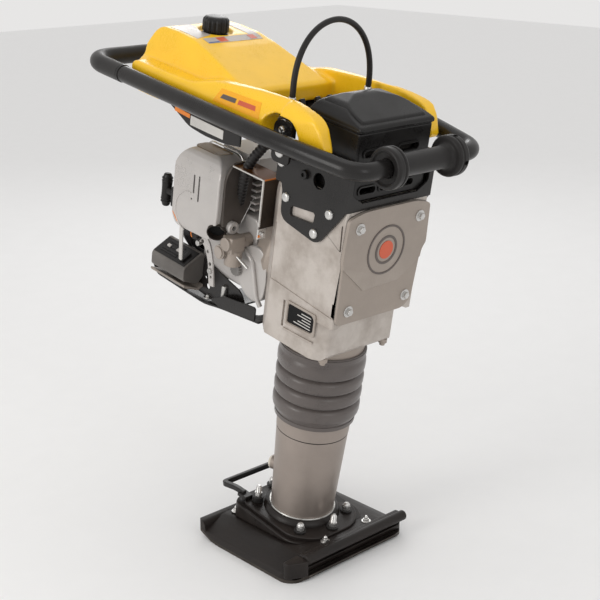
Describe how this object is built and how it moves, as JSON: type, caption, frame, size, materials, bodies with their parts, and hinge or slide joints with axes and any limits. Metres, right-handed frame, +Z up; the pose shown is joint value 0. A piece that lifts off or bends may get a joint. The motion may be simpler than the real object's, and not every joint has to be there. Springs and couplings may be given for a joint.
{
  "type": "vibratory rammer",
  "caption": "Upright petrol-engined soil rammer: a tank and guide handle on rubber mounts, an engine and crank drive over a sprung leg in a bellows, and a flat tamping shoe.",
  "frame": {"origin": "centre of the shoe's sole, on the ground", "axes": "+Z up; -Y is the direction of travel (the roller side); the operator stands at +Y behind the grip; -X is the exhaust side; the leg leans forward 9.4 degrees about X"},
  "size_m": [0.351, 0.6671, 0.9146],
  "materials": {
    "shoe_black": "worn satin",
    "sole_steel": "scuffed dark steel",
    "foot_iron": "satin black over cast iron",
    "black_steel": "black powder coat, satin",
    "cast_aluminium": "fine cast, silver-grey lacquer",
    "engine_grey": "grey stove enamel",
    "exhaust_iron": "heat-browned steel",
    "sight_glass": "clear, domed",
    "bright_steel": "machined, oiled",
    "zinc": "bright zinc plate",
    "bellows_rubber": "glossy moulded polyurethane",
    "black_rubber": "moulded rubber",
    "black_plastic": "fine-grained moulding",
    "filter_foam": "open foam",
    "tank_yellow": "satin-gloss roto-moulded"
  },
  "bodies": {
    "foot": {"shoe_body": "shoe_black", "shoe_sole": "sole_steel", "foot_flange": "foot_iron", "flange_bolt_1": "zinc", "flange_bolt_2": "zinc", "flange_bolt_3": "zinc", "flange_bolt_4": "zinc", "flange_bolt_5": "zinc", "flange_bolt_6": "zinc", "foot_handle": "black_steel", "leg_cylinder": "cast_aluminium", "oil_sight_glass": "sight_glass", "leg_collar": "cast_aluminium", "lower_spring": "bright_steel", "upper_spring": "bright_steel", "bellows": "bellows_rubber"},
    "machine": {"guide_cylinder": "cast_aluminium", "crankcase": "cast_aluminium", "crankcase_cover": "cast_aluminium", "side_plate_right": "black_steel", "side_plate_left": "black_steel", "crank_bearing": "bright_steel", "clutch_housing": "cast_aluminium", "engine_block": "engine_grey", "cylinder_barrel": "engine_grey", "recoil_housing": "black_plastic", "muffler_cover": "engine_grey", "muffler": "exhaust_iron", "heat_shield": "exhaust_iron", "carburettor": "cast_aluminium", "intake_hose": "black_rubber", "ignition_box": "black_plastic", "belly_guard": "black_steel", "shock_mount_right": "black_rubber", "shock_mount_left": "black_rubber", "air_filter_box": "black_plastic", "air_filter_lid": "black_plastic", "filter_element": "filter_foam", "lifting_bracket": "black_steel", "ferrule_right": "zinc", "ferrule_left": "zinc", "lifting_cable": "black_rubber"},
    "ram": {"ram_piston": "bright_steel", "spring_plate": "bright_steel"},
    "crank": {"crank_gear": "bright_steel"},
    "rod": {"con_rod": "bright_steel"},
    "pinion_shaft": {"pinion": "bright_steel", "clutch_drum": "bright_steel"},
    "engine_rotor": {"engine_shaft": "bright_steel"},
    "starter_handle": {"recoil_handle": "black_plastic"},
    "dipstick": {"oil_filler_cap": "black_plastic"},
    "handle": {"handle_frame": "black_steel", "rear_grip": "black_rubber", "fuel_tank": "tank_yellow", "cap_gasket": "black_rubber", "tank_frame": "black_steel", "throttle_bracket": "black_plastic"},
    "cap": {"fuel_cap": "black_plastic"},
    "throttle": {"throttle_lever": "black_plastic"},
    "roller": {"roller": "black_rubber"}
  },
  "joints": [
    {"name": "leg_stroke", "type": "slide", "parent": "foot", "child": "machine", "axis": [0, -0.1633, 0.9866], "range_m": [-0.026, 0.034], "stiffness_N_per_m": 24000, "springref_m": 0.0215, "deforming": ["bellows", "upper_spring", "lower_spring"]},
    {"name": "ram_reciprocation", "type": "slide", "parent": "machine", "child": "ram", "axis": [0, -0.1633, 0.9866], "range_m": [-0.016, 0.016], "stiffness_N_per_m": 20000},
    {"name": "crank_turn", "type": "hinge", "parent": "machine", "child": "crank", "pos_m": [0, -0.08471, 0.57813], "axis": [0, 0.9866, 0.1633], "continuous": true},
    {"name": "rod_on_pin", "type": "hinge", "parent": "crank", "child": "rod", "pos_m": [0, -0.0821, 0.56235], "axis": [0, 0.9866, 0.1633], "continuous": true},
    {"name": "pinion_turn", "type": "hinge", "parent": "machine", "child": "pinion_shaft", "pos_m": [0, -0.07164, 0.49921], "axis": [0, 0.9866, 0.1633], "continuous": true},
    {"name": "engine_turn", "type": "hinge", "parent": "machine", "child": "engine_rotor", "pos_m": [0, -0.07164, 0.49921], "axis": [0, 0.9866, 0.1633], "continuous": true},
    {"name": "starter_pull", "type": "slide", "parent": "machine", "child": "starter_handle", "axis": [0, 0.9866, 0.1633], "range_m": [0, 0.5], "stiffness_N_per_m": 8, "springref_m": -0.3},
    {"name": "dipstick_out", "type": "slide", "parent": "machine", "child": "dipstick", "axis": [-1, 0, 0], "range_m": [0, 0.04]},
    {"name": "handle_rock", "type": "hinge", "parent": "machine", "child": "handle", "pos_m": [0, -0.07995, 0.72082], "axis": [1, 0, 0], "range_deg": [-2, 2], "stiffness_Nm_per_rad": 6000},
    {"name": "fuel_cap_lift", "type": "slide", "parent": "handle", "child": "cap", "axis": [0, -0.1633, 0.9866], "range_m": [0, 0.035]},
    {"name": "throttle_swing", "type": "hinge", "parent": "handle", "child": "throttle", "pos_m": [0.157, 0.18486, 0.76213], "axis": [1, 0, 0], "range_deg": [-40, 40]},
    {"name": "roller_spin", "type": "hinge", "parent": "handle", "child": "roller", "pos_m": [0, -0.25438, 0.71526], "axis": [1, 0, 0], "continuous": true}
  ],
  "couplings": [
    {"joint": "rod_on_pin", "follows": "crank_turn", "ratio": -1},
    {"joint": "pinion_turn", "follows": "crank_turn", "ratio": -5.6667},
    {"joint": "engine_turn", "follows": "crank_turn", "ratio": -5.6667}
  ]
}
